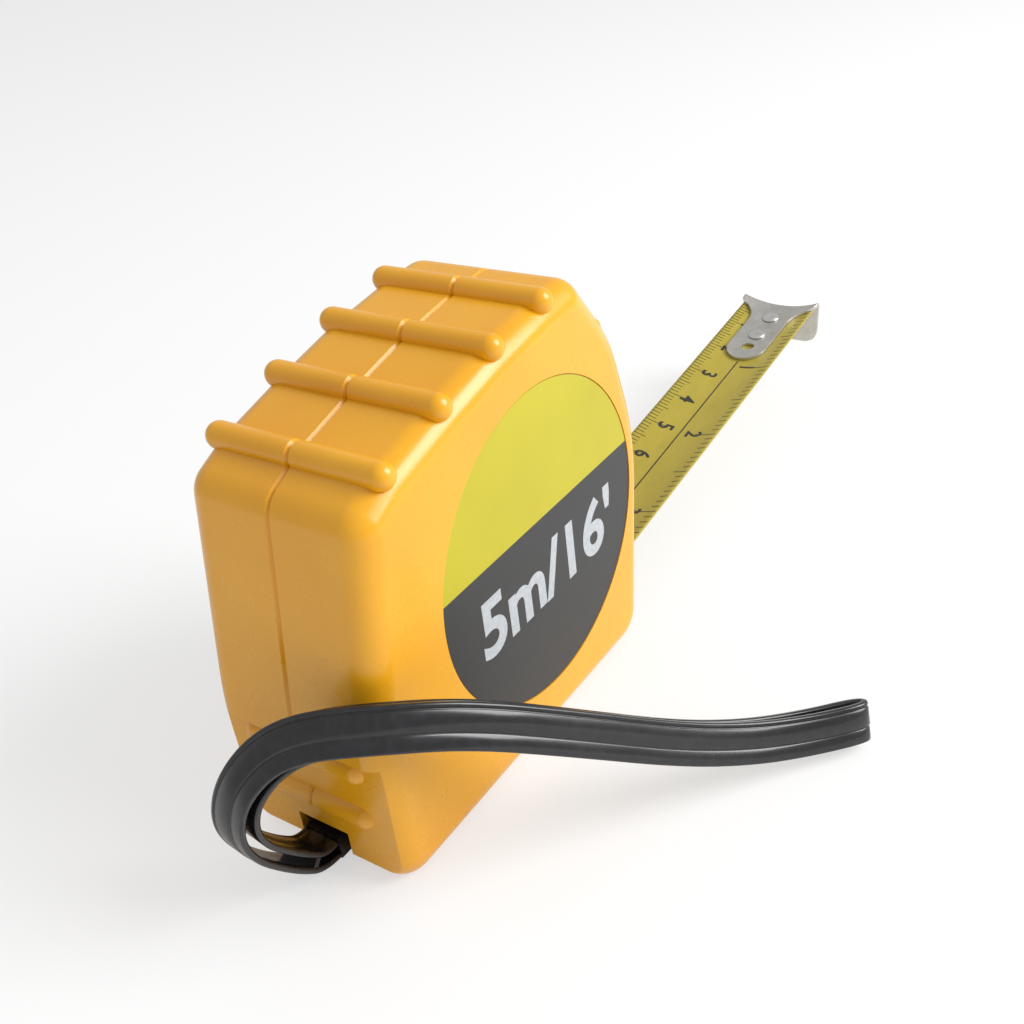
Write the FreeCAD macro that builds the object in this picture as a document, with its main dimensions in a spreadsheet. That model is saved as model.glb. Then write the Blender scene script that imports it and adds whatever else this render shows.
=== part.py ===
import FreeCAD, Part
import Sketcher
import math
import os

# A 5 m pocket tape measure with a 16 mm blade, drawn with about 95 mm of blade out.
# Frame: origin on the flat base, midway between the two shells, under the case's middle;
# +X to the blade's mouth, +Y to the screw side, +Z up. Lengths in millimetres.

Vec = FreeCAD.Vector
doc = FreeCAD.newDocument("tape_measure")

# ---------------------------------------------------------------- driving dimensions
dimensions = {
    "HalfWidth": 15.0,       # parting plane to side face
    "WallThick": 1.8,
    "SideRound": 4.0,        # round between a side face and the case's rim
    "SeamBevel": 0.4,
    "ReelX": 5.6,            # reel axis, which is also the label's centre
    "ReelZ": 32.6,
    "RibRadius": 1.9,        # grip ribs over the top
    "GripRadius": 2.0,       # grip ribs low on the rear
    "GripHalf": 10.5,
    "LabelRadius": 24.0,
    "LabelThick": 0.3,
    "LabelRecess": 0.4,
    "BossRadius": 2.6,
    "ScrewRadius": 1.1,
    "ScrewHead": 2.3,
    "ScrewLength": 20.0,
    "HubRadius": 4.5,        # the shells' hub bosses, on which the reel turns
    "HubEnd": 8.7,
    "RunGap": 0.08,          # running clearance, on the radius
    "ArborRadius": 3.0,
    "FlangeRadius": 24.6,
    "FlangeInner": 8.4,
    "FlangeThick": 1.0,
    "DrumRadius": 16.0,
    "DrumWall": 1.0,
    "CoilRadius": 22.9,      # 5 m of blade wound on the drum
    "BladeWidth": 16.0,
    "BladeThick": 0.25,
    "BladeDish": 1.5,        # how far the blade's middle lies below its edges
    "MouthX": 31.9,          # where the blade's middle crosses the front
    "MouthZ": 6.5,
    "ZeroX": 126.0,          # the scale's zero, at the hook
    "ZeroZ": 18.0,
    "RootX": 27.0,           # inner end of the straight blade
    "HookThick": 0.8,
    "HookFloat": 0.8,        # the hook slides by its own thickness
    "HookWidth": 17.3,
    "HookTongue": 23.0,
    "TongueHalf": 4.3,
    "LipDrop": 8.0,
    "LipCorner": 2.2,
    "MouthHalf": 9.1,        # the blade's opening in the front
    "MouthLow": 5.0,
    "MouthHigh": 9.7,
    "PlateThick": 0.5,       # steel lip under the blade
    "LockTravel": 6.0,
    "LockZ": 22.0,
    "LockNeck": 2.5,         # half the height of the button's neck
    "LockPlay": 0.6,         # room round the neck in its slot
    "BarBack": 3.5,          # the lock's bar, measured in from the front face
    "BarFront": 2.1,
    "YokeLow": 13.5,         # the bar's yoke, measured down from the lock's middle
    "YokeHigh": 11.5,
    "PadReach": 1.1,         # how far the rubber pads stand below the yoke
    "PinX": -29.6,
    "PinZ": 2.9,
    "PinRadius": 0.9,
    "NotchHalf": 4.5,        # the notch for the strap, low on the rear
    "NotchDeep": 25.4,
    "NotchHigh": 6.0,
    "ReliefX": 33.3,         # the rear is set in below this height, for the lower grip
    "ReliefZ": 21.6,
    "GripX": 32.5,
    "TabHalf": 4.0,          # locating tab in the floor, across the parting plane
    "TabReach": 1.5,
    "StrapWidth": 6.0,
    "StrapThick": 1.1,
    "StrapSpread": 1.2,      # each layer's middle lies this far from the strap's middle line
}

sheet = doc.addObject("Spreadsheet::Sheet", "Dimensions")
for row, (alias, value) in enumerate(dimensions.items(), start=1):
    sheet.set(f"A{row}", alias)
    sheet.set(f"B{row}", str(value))
    sheet.setAlias(f"B{row}", alias)
doc.recompute()


def size(alias):
    return float(getattr(sheet, alias))


def bind(obj, **expressions):
    for prop, text in expressions.items():
        obj.setExpression(prop.replace("__", "."), text)
    return obj


def cell(text):
    """Writes an expression in which each word that is an alias reads the sheet."""
    words = sorted(dimensions, key=len, reverse=True)
    for word in words:
        text = text.replace(word, f"<<{word}>>")
    for word in words:
        text = text.replace(f"<<{word}>>", f"Dimensions.{word}")
    return text


def box(name, low, high):
    """A block between two corners, given as expressions."""
    b = doc.addObject("Part::Box", name)
    bind(b, Length=cell(f"({high[0]}) - ({low[0]})"), Width=cell(f"({high[1]}) - ({low[1]})"),
         Height=cell(f"({high[2]}) - ({low[2]})"), Placement__Base__x=cell(low[0]),
         Placement__Base__y=cell(low[1]), Placement__Base__z=cell(low[2]))
    return b


def barY(name, x, z, radius, start, end):
    """A round bar along Y, from start to end."""
    c = doc.addObject("Part::Cylinder", name)
    c.Placement = FreeCAD.Placement(Vec(0, 0, 0), FreeCAD.Rotation(Vec(1, 0, 0), -90))
    bind(c, Radius=cell(radius), Height=cell(f"({end}) - ({start})"), Placement__Base__x=cell(x),
         Placement__Base__y=cell(start), Placement__Base__z=cell(z))
    return c


def ball(name, x, y, z, radius):
    s = doc.addObject("Part::Sphere", name)
    bind(s, Radius=cell(radius), Placement__Base__x=cell(x), Placement__Base__y=cell(y),
         Placement__Base__z=cell(z))
    return s


def fuse(name, parts, refine=False):
    f = doc.addObject("Part::MultiFuse", name)
    f.Shapes = parts
    f.Refine = refine
    return f


def cut(name, base, tools):
    c = doc.addObject("Part::Cut", name)
    c.Base = base
    c.Tool = tools[0] if len(tools) == 1 else fuse(name + "_cutters", tools)
    return c


def feature(name, shape, placement=None):
    f = doc.addObject("Part::Feature", name)
    f.Shape = shape
    if placement is not None:
        f.Placement = placement
    return f


def originPlane(body, role):
    return next(o for o in body.Origin.OriginFeatures if o.Role == role)


# ---------------------------------------------------------------- outlines

# The case's profile in X and Z, with the radius that rounds each corner.
caseCorners = [
    (-34.2, 0, 5.0), (30.6, 0, 6.0), (34.9, 36.0, 40.0), (29.6, 54.6, 25.0),
    (20.4, 66.8, 4.0), (12.8, 66.2, 0), (0.9, 64.6, 0), (-10.9, 61.9, 0),
    (-22.65, 58.7, 0), (-29.2, 55.6, 4.5), (-34.4, 23.0, 60.0),
]
ribPlaces = [(-22.65, 58.6), (-10.9, 61.8), (0.9, 64.5), (12.8, 66.0)]
gripHeights = [19.2, 11.0]
bossPlaces = [(-25.5, 49.0), (-25.5, 12.5), (23.5, 56.5), (24.8, 10.8)]


def roundedCorners(corners):
    """Edges of a closed outline: straight runs joined by tangent arcs."""
    count = len(corners)
    runs = []
    for i in range(count):
        here = Vec(corners[i][0], corners[i][1], 0)
        before = (Vec(*corners[i - 1][:2], 0) - here).normalize()
        after = (Vec(*corners[(i + 1) % count][:2], 0) - here).normalize()
        radius = corners[i][2]
        if not radius:
            runs.append((here, None, here))
            continue
        half = before.getAngle(after) / 2
        reach = radius / math.tan(half)
        middle = (before + after).normalize() * (radius / math.sin(half) - radius)
        runs.append((here + before * reach, here + middle, here + after * reach))
    edges = []
    for i, (start, middle, end) in enumerate(runs):
        if middle is not None:
            edges.append(Part.Arc(start, middle, end))
        edges.append(Part.LineSegment(end, runs[(i + 1) % count][0]))
    return edges


def caseProfile():
    """The case's outline as one closed wire in the XY plane."""
    return Part.Wire([e.toShape() for e in roundedCorners(caseCorners)])


def shrunk(profile, by):
    """The edges of an outline moved inwards."""
    return profile.makeOffset2D(-by).Edges


def asSketchGeometry(edge):
    """A wire's edge as the line or arc that a sketch holds."""
    curve = edge.Curve
    ends = [v.Point for v in edge.Vertexes]
    if isinstance(curve, Part.Line):
        return Part.LineSegment(ends[0], ends[-1])
    middle = edge.valueAt((edge.FirstParameter + edge.LastParameter) / 2)
    return Part.Arc(edge.valueAt(edge.FirstParameter), middle, edge.valueAt(edge.LastParameter))


def addSketch(body, name, role, geometry):
    sketch = body.newObject("Sketcher::SketchObject", name)
    sketch.AttachmentSupport = [(originPlane(body, role), "")]
    sketch.MapMode = "FlatFace"
    for item in geometry:
        sketch.addGeometry(item, False)
    return sketch


# ---------------------------------------------------------------- case

def hollowShell(name, side):
    """One half of the case as a moulding: padded outline, rounded rim, hollow inside."""
    body = doc.addObject("PartDesign::Body", name)
    outer = addSketch(body, name + "_outline", "XZ_Plane",
                      [asSketchGeometry(e) for e in caseProfile().Edges])
    pad = body.newObject("PartDesign::Pad", name + "_pad")
    pad.Profile = outer
    bind(pad, Length=cell("HalfWidth"))
    pad.Reversed = side > 0
    doc.recompute()
    rim = [f"Edge{i + 1}" for i, e in enumerate(pad.Shape.Edges)
           if min(abs(v.Point.y) for v in e.Vertexes) > size("HalfWidth") - 0.01]
    rounding = body.newObject("PartDesign::Fillet", name + "_rim_round")
    rounding.Base = (pad, rim)
    bind(rounding, Radius=cell("SideRound"))
    doc.recompute()
    seam = [f"Edge{i + 1}" for i, e in enumerate(rounding.Shape.Edges)
            if max(abs(v.Point.y) for v in e.Vertexes) < 0.01
            and max(v.Point.z for v in e.Vertexes) > 0.01]
    bevel = body.newObject("PartDesign::Chamfer", name + "_seam_bevel")
    bevel.Base = (rounding, seam)
    bind(bevel, Size=cell("SeamBevel"))
    doc.recompute()
    inner = addSketch(body, name + "_inside", "XZ_Plane",
                      [asSketchGeometry(e) for e in shrunk(caseProfile(), size("WallThick"))])
    hollow = body.newObject("PartDesign::Pocket", name + "_hollow")
    hollow.Profile = inner
    bind(hollow, Length=cell("HalfWidth - WallThick"))
    hollow.Reversed = side < 0
    doc.recompute()
    if hollow.Shape.Volume > 0.6 * bevel.Shape.Volume:
        raise RuntimeError(name + ": the hollow points away from the shell")
    body.Tip = hollow
    return body


def spanY(side, near, far):
    """The two ends of a stretch on one side of the parting plane, lowest first."""
    return (f"-({far})", f"-({near})") if side < 0 else (near, far)


def ribHalf(name, side, x, z, radius, end):
    """Half of a grip rib as one turned shape: bevelled at the seam, domed at its end."""
    bevel, turn = size("SeamBevel"), math.cos(math.radians(45))
    points = [Vec(0, 0, 0), Vec(radius - bevel, 0, 0), Vec(radius, bevel, 0), Vec(radius, end - radius, 0),
              Vec(0, end, 0)]
    lines = [Part.LineSegment(points[i], points[i + 1]).toShape() for i in range(3)]
    dome = Part.Arc(points[3], Vec(radius * turn, end - radius + radius * turn, 0), points[4]).toShape()
    core = Part.LineSegment(points[4], points[0]).toShape()
    outline = Part.Face(Part.Wire(lines + [dome, core]))
    half = outline.revolve(Vec(0, 0, 0), Vec(0, 1, 0), 360)
    return feature(name, half, FreeCAD.Placement(
        Vec(x, 0, z), FreeCAD.Rotation(Vec(1, 0, 0), 180 if side < 0 else 0)))


def caseShell(name, side):
    """A case half with its ribs, bosses, hub and openings."""
    shell = hollowShell(name + "_moulding", side)
    tag = name + "_"
    relief = box(tag + "relief", ("-40", "-HalfWidth - 1", "-1"), ("-ReliefX", "HalfWidth + 1", "ReliefZ"))
    trimmed = cut(tag + "trimmed", shell, [relief])

    adds = [trimmed]
    for i, (x, z) in enumerate(ribPlaces):
        adds.append(ribHalf(f"{tag}rib_{i}", side, x, z, size("RibRadius"), size("HalfWidth")))
    for i, z in enumerate(gripHeights):
        adds.append(ribHalf(f"{tag}grip_{i}", side, -size("GripX"), z, size("GripRadius"), size("GripHalf")))
    for i, (x, z) in enumerate(bossPlaces):
        start, stop = spanY(side, "0", "HalfWidth - WallThick / 2")
        adds.append(barY(f"{tag}boss_{i}", str(x), str(z), "BossRadius", start, stop))
    start, stop = spanY(side, "HubEnd", "HalfWidth - WallThick / 2")
    adds.append(barY(tag + "hub", "ReelX", "ReelZ", "HubRadius", start, stop))
    low, high = spanY(side, "0", "NotchHalf + 3")
    adds.append(box(tag + "strap_block", ("-31.2", low, "1.2"), ("2 - NotchDeep", high, "NotchHigh + 1.6")))
    if side < 0:
        adds.append(box(tag + "tab", ("-TabHalf", "-1", "0"), ("TabHalf", "TabReach", "WallThick")))
    whole = fuse(tag + "whole", adds, refine=True)

    cuts = []
    if side > 0:
        cuts.append(box(tag + "tab_room", ("-TabHalf - RunGap", "-1", "-1"),
                        ("TabHalf + RunGap", "TabReach + RunGap", "WallThick + 1")))
    for i, (x, z) in enumerate(bossPlaces):
        if side > 0:
            cuts.append(barY(f"{tag}hole_{i}", str(x), str(z), "ScrewRadius + 0.2", "-1", "HalfWidth + 1"))
            cuts.append(barY(f"{tag}seat_{i}", str(x), str(z), "ScrewHead + 0.2", "HalfWidth - 3.2",
                             "HalfWidth + 1"))
        else:
            cuts.append(barY(f"{tag}pilot_{i}", str(x), str(z), "ScrewRadius",
                             "-(ScrewLength - HalfWidth + 4)", "1"))
    start, stop = spanY(side, "HubEnd - 1", "HalfWidth - WallThick")
    cuts.append(barY(tag + "arbor_hole", "ReelX", "ReelZ", "ArborRadius", start, stop))
    start, stop = spanY(side, "HalfWidth - LabelRecess", "HalfWidth + 1")
    cuts.append(barY(tag + "label_recess", "ReelX", "ReelZ", "LabelRadius + 0.15", start, stop))
    low, high = spanY(side, "-1", "MouthHalf")
    cuts.append(box(tag + "mouth", ("26", low, "MouthLow"), ("40", high, "MouthHigh")))
    low, high = spanY(side, "-1", "NotchHalf")
    cuts.append(box(tag + "notch", ("-40", low, "-1"), ("-NotchDeep", high, "NotchHigh")))
    low, high = spanY(side, "0", "NotchHalf + 2")
    cuts.append(barY(tag + "pin_hole", "PinX", "PinZ", "PinRadius", low, high))
    room = size("LockNeck") + size("LockPlay")
    cuts.append(lockBlock(tag + "lock_slot", -3.0, 1.5, 3.0, -room, room + size("LockTravel")))
    return cut(name, whole, cuts)


def label(name, side):
    """The printed disc that lies in a side's recess."""
    body = doc.addObject("PartDesign::Body", name)
    sketch = addSketch(body, name + "_circle", "XZ_Plane",
                       [Part.Circle(Vec(0, 0, 0), Vec(0, 0, 1), size("LabelRadius"))])
    sketch.addConstraint(Sketcher.Constraint("Radius", 0, size("LabelRadius")))
    sketch.setExpression("Constraints[0]", cell("LabelRadius"))
    pad = body.newObject("PartDesign::Pad", name + "_pad")
    pad.Profile = sketch
    bind(pad, Length=cell("LabelThick"))
    pad.Reversed = side > 0
    bind(body, Placement__Base__x=cell("ReelX"), Placement__Base__z=cell("ReelZ"),
         Placement__Base__y=cell(("-" if side < 0 else "") + "(HalfWidth - LabelRecess)"))
    return body


def caseScrews():
    """Four self-tapping screws, put in from the left side."""
    parts = []
    for i, (x, z) in enumerate(bossPlaces):
        shank = barY(f"screw_shank_{i}", str(x), str(z), "ScrewRadius",
                     "HalfWidth - 3.2 - ScrewLength + 4", "HalfWidth - 3.2")
        head = barY(f"screw_head_{i}", str(x), str(z), "ScrewHead", "HalfWidth - 3.2", "HalfWidth - 1.6")
        slotA = box(f"screw_slot_a_{i}", (f"{x} - 1.4", "HalfWidth - 2.3", f"{z} - 0.3"),
                    (f"{x} + 1.4", "HalfWidth", f"{z} + 0.3"))
        slotB = box(f"screw_slot_b_{i}", (f"{x} - 0.3", "HalfWidth - 2.3", f"{z} - 1.4"),
                    (f"{x} + 0.3", "HalfWidth", f"{z} + 1.4"))
        parts.append(cut(f"screw_{i}", fuse(f"screw_blank_{i}", [shank, head]), [slotA, slotB]))
    group = doc.addObject("Part::Compound", "case_screws")
    group.Links = parts
    return group


def springArbor():
    """The fixed centre post, slotted across its middle for the mainspring's inner end."""
    post = barY("arbor_post", "ReelX", "ReelZ", "ArborRadius", "-(HalfWidth - WallThick)", "HalfWidth - WallThick")
    slot = box("arbor_slot", ("ReelX", "-7.4", "ReelZ - 0.4"), ("ReelX + 5", "7.4", "ReelZ + 0.4"))
    return cut("spring_arbor", post, [slot])


def mouthPlate():
    """The steel lip that the blade slides out over."""
    return box("mouth_plate", ("28.6", "0.4 - MouthHalf", "MouthLow"),
               ("32.6", "MouthHalf - 0.4", "MouthLow + PlateThick"))


# ---------------------------------------------------------------- reel

def revolved(name, outline):
    """A ring turned about the reel's axis, from an outline of (radius, y) points."""
    body = doc.addObject("PartDesign::Body", name)
    points = [Vec(r, y, 0) for r, y in outline]
    lines = [Part.LineSegment(points[i - 1], points[i]) for i in range(len(points))]
    sketch = addSketch(body, name + "_section", "XY_Plane", lines)
    turn = body.newObject("PartDesign::Revolution", name + "_turned")
    turn.Profile = sketch
    turn.ReferenceAxis = (originPlane(body, "Y_Axis"), [""])
    turn.Angle = 360
    bind(body, Placement__Base__x=cell("ReelX"), Placement__Base__z=cell("ReelZ"))
    return body


def reelBase():
    """The moulded drum with the right flange, closed round the hub."""
    bore, drum, wall = size("HubRadius") + size("RunGap"), size("DrumRadius"), size("DrumWall")
    inner, thick, rim = size("FlangeInner"), size("FlangeThick"), size("FlangeRadius")
    return revolved("reel_base", [
        (bore, -inner - thick - 1.6), (bore + 1.4, -inner - thick - 1.6), (bore + 1.4, -inner - thick),
        (rim, -inner - thick), (rim, -inner), (drum, -inner), (drum, inner), (drum - wall, inner),
        (drum - wall, -inner + 0.3), (bore, -inner + 0.3)])


def reelCover():
    """The left flange, which snaps onto the drum's open end."""
    bore, drum, wall = size("HubRadius") + size("RunGap"), size("DrumRadius"), size("DrumWall")
    inner, thick, rim = size("FlangeInner"), size("FlangeThick"), size("FlangeRadius")
    lip = drum - wall - 0.02
    return revolved("reel_cover", [
        (bore, inner - 0.6), (lip, inner - 0.6), (lip, inner), (rim, inner), (rim, inner + thick),
        (bore + 1.4, inner + thick), (bore + 1.4, inner + thick + 1.6), (bore, inner + thick + 1.6)])


def bladeCoil():
    """The wound blade, as the ring that its turns fill."""
    drum, rim, half = size("DrumRadius") + 0.1, size("CoilRadius"), size("BladeWidth") / 2
    return revolved("blade_coil", [(drum, -half), (rim, -half), (rim, half), (drum, half)])


def mainspring():
    """A flat spiral spring of half turns, from the arbor's slot to the drum."""
    thick, pitch, turns, start = 0.3, 1.6, 6, 4.2
    outer, inner = [], []
    for i in range(2 * turns):
        radius = start + i * pitch / 2
        middle = Vec((pitch / 4) * (1 if i % 2 else -1), 0, 0)
        flip = -1 if i % 2 else 1
        for group, r in ((outer, radius + thick / 2), (inner, radius - thick / 2)):
            a, b, c = middle + Vec(flip * r, 0, 0), middle + Vec(0, 0, flip * r), middle - Vec(flip * r, 0, 0)
            group.append(Part.Arc(a, b, c).toShape())
    first = Part.LineSegment(inner[0].valueAt(inner[0].FirstParameter),
                             outer[0].valueAt(outer[0].FirstParameter)).toShape()
    last = Part.LineSegment(inner[-1].valueAt(inner[-1].LastParameter),
                            outer[-1].valueAt(outer[-1].LastParameter)).toShape()
    wire = Part.Wire(Part.__sortEdges__(outer + inner + [first, last]))
    spiral = Part.Face(wire).extrude(Vec(0, 14, 0))
    return feature("mainspring", spiral, FreeCAD.Placement(Vec(size("ReelX"), -7, size("ReelZ")),
                                                           FreeCAD.Rotation()))


def springLink():
    """The riveted tab inside the drum that joins the mainspring to the blade's tail."""
    radius = "DrumRadius - DrumWall"
    return box("spring_link", ("ReelX - 2", "-4", f"ReelZ + {radius} - 0.62"),
               ("ReelX + 2", "4", f"ReelZ + {radius} - 0.17"))


# ---------------------------------------------------------------- blade and hook

pitch = math.atan2(size("ZeroZ") - size("MouthZ"), size("ZeroX") - size("MouthX"))
bladeFrame = FreeCAD.Placement(Vec(size("ZeroX"), 0, size("ZeroZ")),
                               FreeCAD.Rotation(Vec(0, 1, 0), -math.degrees(pitch)))


def bladeLead():
    """The stretch from the coil to the mouth: a straight run, then one easy bend."""
    thick, bend = size("BladeThick"), 26.0
    gap = size("CoilRadius") + 0.3
    reel = Vec(size("ReelX"), 0, size("ReelZ"))
    along, up = Vec(math.cos(pitch), 0, math.sin(pitch)), Vec(-math.sin(pitch), 0, math.cos(pitch))
    end = Vec(size("MouthX"), 0, size("MouthZ")) + along * ((size("RootX") - 0.4 - size("MouthX")) / along.x)
    centre = end + up * bend
    between = centre - reel
    slope = math.atan2(between.z, between.x) - math.asin((bend - gap) / between.Length)
    down = Vec(math.sin(slope), 0, -math.cos(slope))
    middle = (down - up).normalize()

    def edge(offset):
        a, b = reel + down * (gap + offset), centre + down * (bend + offset)
        return a, b, centre + middle * (bend + offset), end - up * offset

    a, b, m, e = edge(0)
    a2, b2, m2, e2 = edge(thick)
    wire = Part.Wire([Part.LineSegment(a, b).toShape(), Part.Arc(b, m, e).toShape(),
                      Part.LineSegment(e, e2).toShape(), Part.Arc(e2, m2, b2).toShape(),
                      Part.LineSegment(b2, a2).toShape(), Part.LineSegment(a2, a).toShape()])
    half = size("BladeWidth") / 2
    strip = Part.Face(wire).extrude(Vec(0, 2 * half, 0))
    return feature("blade_lead", strip, FreeCAD.Placement(Vec(0, -half, 0), FreeCAD.Rotation()))


def dishedSlab(half, low, high, start, end):
    """A slab with the blade's dish, between two heights over the blade's upper face."""
    dish, flat = size("BladeDish"), size("BladeWidth") / 2
    radius = (flat * flat + dish * dish) / (2 * dish)

    def arc(height):
        turn = math.asin(half / (radius - height))
        rise = (radius - height) * (1 - math.cos(turn)) + height
        return Vec(start, -half, rise), Vec(start, 0, height), Vec(start, half, rise)

    a, b = arc(low), arc(high)
    wire = Part.Wire([Part.Arc(*a).toShape(), Part.LineSegment(a[2], b[2]).toShape(),
                      Part.Arc(b[2], b[1], b[0]).toShape(), Part.LineSegment(b[0], a[0]).toShape()])
    return Part.Face(wire).extrude(Vec(end - start, 0, 0))


rivetPlaces = [-6.0, -13.4]


def bladeStrip():
    """The straight dished blade from inside the mouth to just behind the hook's lip."""
    length = (size("ZeroX") - size("RootX")) / math.cos(pitch)
    strip = dishedSlab(size("BladeWidth") / 2, -size("BladeThick"), 0, -length, -1.5)
    for place in rivetPlaces:
        strip = strip.cut(Part.makeCylinder(1.0, 4, Vec(place, 0, -2)))
    return feature("blade_strip", strip, bladeFrame)


def hookPlan():
    """The hook's plate seen from above: wide at the lip, drawn in to a round tongue."""
    wide, slim, tail = size("HookWidth") / 2, size("TongueHalf"), size("HookTongue")
    edges = []
    for side in (1, -1):
        flare = [Vec(0.4, side * wide, 0), Vec(-1.6, side * wide, 0), Vec(-4.2, side * (slim + 1.25), 0),
                 Vec(-9.0, side * slim, 0), Vec(slim - tail, side * slim, 0)]
        edges.append(Part.LineSegment(flare[0], flare[1]).toShape())
        edges.append(Part.Arc(flare[1], flare[2], flare[3]).toShape())
        edges.append(Part.LineSegment(flare[3], flare[4]).toShape())
    edges.append(Part.Arc(Vec(slim - tail, slim, 0), Vec(-tail, 0, 0), Vec(slim - tail, -slim, 0)).toShape())
    edges.append(Part.LineSegment(Vec(0.4, wide, 0), Vec(0.4, -wide, 0)).toShape())
    return Part.Face(Part.Wire(Part.__sortEdges__(edges))).extrude(Vec(0, 0, 8))


def endHook():
    """The steel end hook: dished plate, slotted rivet holes and a lip bent down in front."""
    thick, wide, drop = size("HookThick"), size("HookWidth") / 2, size("LipDrop")
    plan = hookPlan()
    plan.translate(Vec(0, 0, -2))
    plate = dishedSlab(wide, 0.04, thick - 0.1, -size("HookTongue") - 1, 1).common(plan)
    slide = size("HookFloat")
    for place in rivetPlaces:
        for shift in (0, slide):
            plate = plate.cut(Part.makeCylinder(1.2, 6, Vec(place + shift, 0, -2)))
        plate = plate.cut(Part.makeBox(slide, 2.4, 6, Vec(place, -1.2, -2)))
    plate = plate.cut(Part.makeCylinder(1.3, 6, Vec(-18.2, 0, -2)))
    corner = size("LipCorner")
    foot = wide - corner
    sides = [Vec(0, -wide, 1.2), Vec(0, -wide + 0.9, -drop + corner + 1.4), Vec(0, -foot + 0.7, -drop + 0.6),
             Vec(0, -foot + corner + 0.9, -drop)]
    other = [Vec(0, -p.y, p.z) for p in sides]
    wire = Part.Wire([Part.LineSegment(sides[0], sides[1]).toShape(), Part.Arc(*sides[1:]).toShape(),
                      Part.LineSegment(sides[3], other[3]).toShape(),
                      Part.Arc(other[3], other[2], other[1]).toShape(),
                      Part.LineSegment(other[1], other[0]).toShape(),
                      Part.Arc(other[0], Vec(0, 0, -0.2), sides[0]).toShape()])
    lip = Part.Face(wire).extrude(Vec(thick, 0, 0))
    bend = dishedSlab(wide, -0.6, thick - 0.1, -0.4, thick)
    hook = plate.fuse([lip, bend]).removeSplitter()
    return feature("end_hook", hook, bladeFrame)


def hookRivets():
    """The rivets that hold the hook on the blade, with room for it to slide."""
    solids = []
    for place in rivetPlaces:
        shank = Part.makeCylinder(1.0, 1.5, Vec(place, 0, -0.6))
        disc = Part.makeCylinder(1.9, 0.45, Vec(place, 0, 0.85))
        head = disc.makeFillet(0.25, [e for e in disc.Edges if e.BoundBox.ZMin > 1.2])
        tail = Part.makeCylinder(1.6, 0.35, Vec(place, 0, -0.6))
        solids.append(shank.fuse([head, tail]))
    return feature("hook_rivets", Part.Compound(solids), bladeFrame)


# ---------------------------------------------------------------- lock

faceLean = math.atan2(caseCorners[2][0] - caseCorners[1][0], caseCorners[2][1])
lockFrame = FreeCAD.Placement(
    Vec(caseCorners[1][0] + math.tan(faceLean) * size("LockZ"), 0, size("LockZ")),
    FreeCAD.Rotation(Vec(0, 1, 0), math.degrees(faceLean)))


def lockBlock(name, inner, outer, half, low, high):
    """A block square to the leaning front face, measured from the lock's middle."""
    b = doc.addObject("Part::Box", name)
    b.Length, b.Width, b.Height = outer - inner, 2 * half, high - low
    b.Placement = lockFrame.multiply(FreeCAD.Placement(Vec(inner, -half, low), FreeCAD.Rotation()))
    return b


def lockButton():
    """The thumb pad on the front, ridged across, with its neck through the slot."""
    half, wide, face, neckHalf = 6.0, 5.0, 2.4, size("LockNeck")
    pad = lockBlock("lock_pad", 0.4, face, wide, -half, half)
    doc.recompute()
    soft = doc.addObject("Part::Fillet", "lock_pad_round")
    soft.Base = pad
    soft.Edges = [(i + 1, 0.9, 0.9) for i in range(len(pad.Shape.Edges))]
    neck = lockBlock("lock_neck", -size("BarFront"), 0.8, 2.6, -neckHalf, neckHalf)
    ridges, step, ridgeHigh = [], 2.0, 0.8
    for i in range(5):
        low = (i - 2) * step - ridgeHigh / 2
        ridges.append(lockBlock(f"lock_ridge_{i}", face - 0.4, face + 0.5, wide - 1, low, low + ridgeHigh))
    return fuse("lock_button", [soft, neck] + ridges)


def lockBar():
    """The bar behind the front wall, with the yoke that spans the blade."""
    back, front, low, high = -size("BarBack"), -size("BarFront"), -size("YokeLow"), -size("YokeHigh")
    bar = lockBlock("lock_stem", back, front, 2.8, high - 0.5, 2 * size("LockNeck"))
    yoke = lockBlock("lock_yoke", back, front, size("BladeWidth") / 2, low, high)
    return fuse("lock_bar", [bar, yoke])


def brakePads():
    """Two rubber pads under the yoke, one over each edge of the blade."""
    wide, reach, edge = 1.8, size("PadReach"), size("BladeWidth") / 2
    pads = []
    for i, y in enumerate((-edge, edge - wide)):
        pad = doc.addObject("Part::Box", f"brake_pad_{i}")
        pad.Length, pad.Width, pad.Height = size("BarBack") - size("BarFront"), wide, reach
        pad.Placement = lockFrame.multiply(FreeCAD.Placement(
            Vec(-size("BarBack"), y, -size("YokeLow") - reach), FreeCAD.Rotation()))
        pads.append(pad)
    group = doc.addObject("Part::Compound", "brake_pads")
    group.Links = pads
    return group


def lockSpring():
    """The leaf that clicks the lock's bar into its two places."""
    beside = 3.2
    leaf = doc.addObject("Part::Box", "lock_leaf")
    leaf.Length, leaf.Width, leaf.Height = 1.4, 0.4, 10.5
    leaf.Placement = lockFrame.multiply(FreeCAD.Placement(Vec(-beside, beside, -5.0), FreeCAD.Rotation()))
    foot = doc.addObject("Part::Box", "lock_leaf_foot")
    foot.Length, foot.Width, foot.Height = 0.6, 4.0, 3.0
    foot.Placement = lockFrame.multiply(FreeCAD.Placement(Vec(-2.4, beside, 2.5), FreeCAD.Rotation()))
    return fuse("lock_spring", [leaf, foot])


# ---------------------------------------------------------------- wrist strap

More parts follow.
